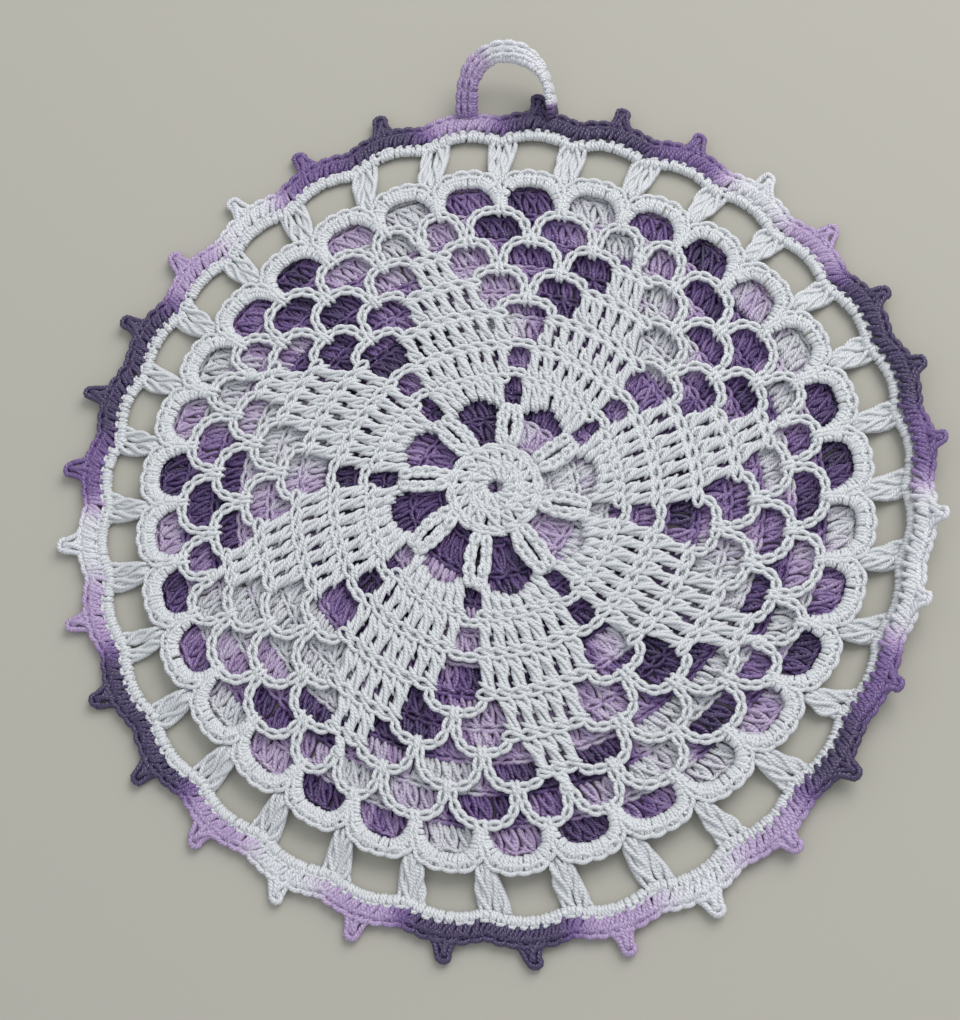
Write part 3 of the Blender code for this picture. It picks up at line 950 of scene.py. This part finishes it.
class CROCHET_OT_petals(Operator):
    """Makes the centre, the spokes and the eight petals of double crochet"""

    bl_idname = "crochet.petals"
    bl_label = "Centre and petals"

    def execute(self, context):
        draw = random_draw(2)
        blocks = []
        strokes = (LOWER_STROKE, UPPER_STROKE)
        centre_parts = crochet_parts(9, strokes, foot_wide=1.25, head_wide=1.15, waist=0.12)
        for row in CENTRE_ROUNDS:
            apart = FULL_TURN / row.count
            bearing = FULL_TURN * np.arange(row.count) / row.count
            foot = spots_at(row.foot, bearing + CENTRE_TURN)
            head = spots_at(row.head, bearing)
            width = pitch_widths(row.foot, row.head, apart, apart)
            blocks += stitches(centre_parts, foot, head, front_height, white, draw, width)
            line = round_line(row.head, 241, front_height)
            blocks.append(line_strands(chain_rings(), line, row.count, white, draw))
        turns = FULL_TURN / SECTORS * np.arange(SECTORS)
        for side in (-1, 1):
            ends = []
            for spot in (SPOKE_FOOT, SPOKE_HEAD):
                bearing = axis_bearing(spot.radius) + turns + side * spot.offset
                ends.append(spots_at(spot.radius, bearing))
            parts = crochet_parts(
                10, (), turn=0.9, foot_wide=0.75, head_wide=0.75, bow=SPOKE_BOW * side, end=1.06
            )
            blocks += stitches(parts, *ends, front_height, white, draw, FULL_WIDTH)
            for sector in range(SECTORS):
                share = np.linspace(0, 1, 41)
                radius = SPOKE_FOOT.radius + (SPOKE_HEAD.radius - SPOKE_FOOT.radius) * share
                offset = SPOKE_FOOT.offset + (SPOKE_HEAD.offset - SPOKE_FOOT.offset) * share
                bow = np.degrees(SPOKE_BOW * MM * np.sin(math.pi * share) / (radius * TIP_RADIUS))
                bearing = axis_bearing(radius) + turns[sector] + side * (offset + bow)
                line = sheet_line(radius, bearing, front_height)
                loops = line_strands(
                    chain_rings(1.2), line, SPOKE_LOOPS, white, draw, raised=0.30, thick=1.15, play=0.14
                )
                blocks.append(loops)
        strokes = (FOOT_STROKE, LOWER_STROKE, UPPER_STROKE)
        for sector in range(SECTORS):
            offset = FULL_TURN / SECTORS * sector + PETAL_OFFSET
            for row in PETAL_ROWS:
                waist = FIRST_ROW_WAIST if row.bow else PETAL_WAIST
                petal_parts = crochet_parts(9, strokes, foot_wide=1.32, head_wide=1.16, waist=waist)
                feet, heads = stitch_spots(row, offset)
                apart = (2 * row.foot_half / row.count, 2 * row.head_half / row.count)
                width = pitch_widths(row.foot, row.head, *apart)
                blocks += stitches(petal_parts, feet, heads, front_height, white, draw, width)
                radius = np.full(LINE_POINTS, row.head - BAND_BACK)
                bearing = axis_bearing(radius) + offset + np.linspace(-1, 1, LINE_POINTS) * row.head_half
                line = sheet_line(radius, bearing, front_height)
                loops = line_strands(chain_rings(1.35), line, max(row.count, 2), white, draw, overlap=0.2)
                blocks.append(loops)
        new_piece("front_petals", blocks, False, "front_panel")
        return {"FINISHED"}


class CROCHET_OT_network(Operator):
    """Makes the network of chain arches between the petals"""

    bl_idname = "crochet.network"
    bl_label = "Chain network"

    def execute(self, context):
        sizes = context.scene.crochet_sizes
        draw = random_draw(3)
        chain = chain_rings()
        blocks = []
        for sector in range(SECTORS):
            for arch in NETWORK:
                line = arch_line(arch, sector, front_height)
                count = max(round(line.length[-1] / sizes.chain_pitch - OVERLAP), 1)
                blocks.append(line_strands(chain, line, count, white, draw))
        offsets = np.array([knot.offset for knot in KNOTS])
        radii = np.array([knot.radius for knot in KNOTS])
        turns = FULL_TURN / SECTORS * np.repeat(np.arange(SECTORS), len(KNOTS))
        radii = np.tile(radii, SECTORS)
        bearings = axis_bearing(radii) + np.tile(offsets, SECTORS) + turns
        feet = spots_at(radii - KNOT_REACH, bearings + KNOT_LEAN)
        heads = spots_at(radii + KNOT_REACH, bearings - KNOT_LEAN)
        for points in KNOT_STRANDS:
            strand = even_strand(points, 7, (1.0, 3.5, 1.0))
            blocks.append(stitch_strands(strand, 1.0, feet, heads, front_height, white, draw, FULL_WIDTH))
        new_piece("front_network", blocks, False, "front_panel")
        return {"FINISHED"}


def single_crochet(
    line, count, half, chain_out, shading, draw, feet=THREE_LEGS,
    lean=0.0, reach=0.0, wide=1.0, raised=0.0, thick=1.0, heavy=1.0, taper=0.0,
):
    """Blocks of single crochet along a line: its legs, from the inner edge up to a chain of loops.

    half is half the band's width in millimetres and chain_out how far out the loops lie. feet are
    the shares of the stitch where each leg starts and ends. The loops are this many times as wide
    and thick, and raised by millimetres; heavy is for the legs."""
    legs = []
    for number, (start, end) in enumerate(feet):
        inner = -half - reach * (number % 2)
        legs.append(
            (
                (start, inner + 0.10, -0.45),
                (start, inner + 0.05, 0.00),
                (start + 0.03 + lean * 0.2, inner + 0.45, 0.36),
                (start + (end - start) * 0.5 + lean * 0.6, -half * 0.1, 0.48),
                (end + lean, half * 0.45, 0.30),
                (end + lean, half * 0.75, -0.10),
            )
        )
    blocks = []
    for leg in legs:
        strand = even_strand(leg, 8, (2.8, 1, 1))
        made = line_strands(strand, line, count, shading, draw, overlap=0.1, thick=heavy, taper=taper)
        blocks.append(made)
    loops = line_strands(
        chain_rings(wide), line, count, shading, draw, chain_out, raised=raised, thick=thick, taper=taper
    )
    blocks.append(loops)
    return blocks


class CROCHET_OT_scallops(Operator):
    """Makes the scallops of single crochet round the network"""

    bl_idname = "crochet.scallops"
    bl_label = "Scallops"

    def execute(self, context):
        draw = random_draw(4)
        blocks = []
        for sector in range(SECTORS):
            for arch in SCALLOPS:
                line = arch_line(arch, sector, front_height, SCALLOP_BULGE)
                count = SCALLOP_STITCHES
                blocks += single_crochet(
                    line, count, 1.65, 0.80, white, draw, FOUR_LEGS, wide=1.2, raised=0.28, taper=0.62
                )
        new_piece("front_scallops", blocks, False, "front_panel")
        return {"FINISHED"}


def scalloped_line(radius, swell):
    """A closed line round the sheet that bows out over each opening, clockwise."""
    share = np.linspace(0, ARCADES, ARCADES * 24 + 1)
    bow = swell * np.abs(np.cos(math.pi * share))
    return sheet_line(radius + bow, AXIS_AT_RIM + FULL_TURN / ARCADES * share, front_height, closed=True)


class CROCHET_OT_arcade(Operator):
    """Makes the posts round the scallops and the white rim on them"""

    bl_idname = "crochet.arcade"
    bl_label = "Posts and rim"

    def execute(self, context):
        draw = random_draw(5)
        middles = AXIS_AT_RIM + FULL_TURN / ARCADES * (np.arange(ARCADES) + 0.5)
        blocks = []
        for side in (-1, 1):
            foot = spots_at(POST_FOOT, middles + POST_FOOT_APART * side)
            head = spots_at(POST_HEAD, middles + POST_HEAD_APART * side + bumps(POST_LEANS, middles))
            parts = crochet_parts(
                11, (), turn=0.8 * side, head_wide=1.15, bow=0.3 * side, end=1.03, under=(-0.8, 0.0, 0.8)
            )
            blocks += stitches(parts, foot, head, front_height, white, draw, (0.85, 0.95))
        line = scalloped_line(RIM_RADIUS, RIM_SWELL)
        blocks += single_crochet(line, ARCADES * RIM_STITCHES, 1.0, 0.3, white, draw, FOUR_LEGS)
        new_piece("front_arcade", blocks, False, "front_panel")
        return {"FINISHED"}


class CROCHET_OT_edging(Operator):
    """Makes the edging of single crochet with its picots in the shaded thread"""

    bl_idname = "crochet.edging"
    bl_label = "Edging"

    def execute(self, context):
        draw = random_draw(6)

        def shading(radius, bearing):
            # Partly painted shade: the edging is darkened for its darker dye and against the stronger light on
            # the open edge.
            return shade_at(EDGING_SHADING, bearing) ** EDGING_DYE_AND_SHADE_POWER

        line = scalloped_line(EDGING_RADIUS, EDGING_SWELL)
        blocks = single_crochet(
            line, ARCADES * EDGING_STITCHES, 1.60, 0.85, shading, draw,
            lean=0.45, reach=0.85, wide=1.10, raised=0.20, thick=1.15, heavy=1.12,
        )
        picots = ARCADES - 1
        middles = AXIS_AT_RIM + FULL_TURN / ARCADES * np.arange(picots) + draw.normal(0, 0.2, picots)
        feet = spots_at(PICOT_FOOT, middles)
        heads = spots_at(PICOT_TIP + draw.normal(0, 0.002, picots), middles)
        heads[:, 1] += PICOT_LEAN + draw.normal(0, 0.3, picots)
        heads[0] -= FIRST_PICOT_MOVED
        heads[:, 0] += bumps(PICOT_REACH, middles)
        for points in PICOT_STRANDS:
            strand = even_strand(points, 8, (1.0, 4.1, 1.0))
            made = stitch_strands(strand, PICOT_THICK, feet, heads, front_height, shading, draw, FULL_WIDTH)
            blocks.append(made)
        new_piece("edging_thread", blocks, True, "edging")
        return {"FINISHED"}


class CROCHET_OT_hanging_ring(Operator):
    """Makes the hanging ring: single crochet over a loop that stands up from the edging"""

    bl_idname = "crochet.hanging_ring"
    bl_label = "Hanging ring"

    def execute(self, context):
        draw = random_draw(7)
        feet = []
        for bearing in RING_FEET:
            x, y = place(np.array(EDGING_EDGE), np.array(bearing))
            feet.append(np.array([float(x), float(y), FABRIC * 0.75]))
        share = np.linspace(0, 1, 121)
        turn = math.pi * share
        outward = np.array([0.0, RING_REACH, RING_RISE])
        middle = feet[0] + (feet[1] - feet[0]) * ((1 - np.cos(turn)) / 2)[:, None]
        middle = middle + outward * (np.sin(turn) ** RING_ARCH)[:, None]
        middle[:, 2] += RING_LIFT
        tangent = np.gradient(middle, axis=0)
        tangent /= np.linalg.norm(tangent, axis=1, keepdims=True)
        facing = np.array(RING_FACING)
        flat_up = facing - tangent * (tangent @ facing)[:, None]
        flat_up /= np.linalg.norm(flat_up, axis=1, keepdims=True)
        side = np.cross(flat_up, tangent)
        angle = np.radians(RING_TWIST * smooth(*RING_TWIST_OVER, share))[:, None]
        up = flat_up * np.cos(angle) + side * np.sin(angle)
        line = framed_line(middle, up, False, np.stack([share, share], axis=1))

        def shading(radius, bearing):
            return np.interp(radius, RING_SHADE_SPOTS, RING_SHADE_VALUES)

        count = RING_STITCHES
        blocks = single_crochet(
            line, count, 1.9, 1.35, shading, draw, FOUR_LEGS, wide=0.95, raised=0.35, thick=1.3
        )
        loops = line_strands(
            chain_rings(0.9), line, count, shading, draw, outward=-0.05, raised=0.45, thick=1.15
        )
        blocks.append(loops)
        new_piece("ring_thread", blocks, True, "hanging_ring")
        return {"FINISHED"}


class CROCHET_OT_sheets(Operator):
    bl_idname = "crochet.sheets"
    bl_label = "Flat sizes"

    def execute(self, context):
        return {"FINISHED"}


class CROCHET_OT_stage(Operator):
    """Makes the floor, the light and the camera"""

    bl_idname = "crochet.stage"
    bl_label = "Stage"

    def execute(self, context):
        studio = context.scene.crochet_studio
        half = FLOOR_HALF
        corners = [(-half, -half, 0), (half, -half, 0), (half, half, 0), (-half, half, 0)]
        mesh = bpy.data.meshes.new("floor")
        mesh.from_pydata(corners, [], [(0, 1, 2, 3)])
        material = bpy.data.materials.new("floor")
        material.use_nodes = True
        shader = material.node_tree.nodes["Principled BSDF"]
        shader.inputs["Base Color"].default_value = (*studio.floor, 1.0)
        shader.inputs["Roughness"].default_value = 0.9
        mesh.materials.append(material)
        floor = bpy.data.objects.new("floor", mesh)
        floor.location.z = -FLOOR_DROP
        context.scene.collection.objects.link(floor)

        world = bpy.data.worlds.new("soft_sky")
        world.use_nodes = True
        background = world.node_tree.nodes["Background"]
        background.inputs["Color"].default_value = SKY_COLOUR
        background.inputs["Strength"].default_value = studio.sky
        context.scene.world = world

        lamp = bpy.data.lights.new("window", "AREA")
        lamp.energy = studio.key_power
        lamp.size = LAMP_SIZE
        lamp.color = LAMP_COLOUR
        key = bpy.data.objects.new("window", lamp)
        key.location = LAMP_PLACE
        key.rotation_euler = [math.radians(degrees) for degrees in LAMP_DEGREES]
        context.scene.collection.objects.link(key)

        lens = bpy.data.cameras.new("camera")
        lens.lens = studio.lens
        lens.sensor_width = 36
        camera = bpy.data.objects.new("camera", lens)
        camera.location = CAMERA_PLACE
        camera.rotation_euler = [math.radians(degrees) for degrees in CAMERA_DEGREES]
        context.scene.collection.objects.link(camera)
        context.scene.camera = camera
        context.scene.view_settings.view_transform = "Standard"
        return {"FINISHED"}


class CROCHET_PT_panel(Panel):
    """Sizes, colours and the pieces in order"""

    bl_label = "Crochet pot holder"
    bl_idname = "CROCHET_PT_panel"
    bl_space_type = "VIEW_3D"
    bl_region_type = "UI"
    bl_category = "Crochet"

    def draw(self, context):
        scene = context.scene
        for group in (scene.crochet_sizes, scene.crochet_colours, scene.crochet_studio):
            box = self.layout.box()
            for name in group.__annotations__:
                box.prop(group, name)
        for step in STEPS:
            self.layout.operator(step.bl_idname)


STEPS = (
    CROCHET_OT_back_panel,
    CROCHET_OT_petals,
    CROCHET_OT_network,
    CROCHET_OT_scallops,
    CROCHET_OT_arcade,
    CROCHET_OT_edging,
    CROCHET_OT_hanging_ring,
    CROCHET_OT_sheets,
    CROCHET_OT_stage,
)
GROUPS = (CrochetSizes, CrochetColours, CrochetStudio)


def register():
    """Registers the classes and puts the settings on the scene."""
    for kind in GROUPS + STEPS + (CROCHET_PT_panel,):
        bpy.utils.register_class(kind)
    bpy.types.Scene.crochet_sizes = PointerProperty(type=CrochetSizes)
    bpy.types.Scene.crochet_colours = PointerProperty(type=CrochetColours)
    bpy.types.Scene.crochet_studio = PointerProperty(type=CrochetStudio)


def unregister():
    """Takes the settings and the classes away again."""
    del bpy.types.Scene.crochet_studio
    del bpy.types.Scene.crochet_colours
    del bpy.types.Scene.crochet_sizes
    for kind in reversed(GROUPS + STEPS + (CROCHET_PT_panel,)):
        bpy.utils.unregister_class(kind)


def main():
    """Makes every piece in order."""
    register()
    for step in STEPS:
        group, name = step.bl_idname.split(".")
        getattr(getattr(bpy.ops, group), name)()


if __name__ == "__main__":
    main()
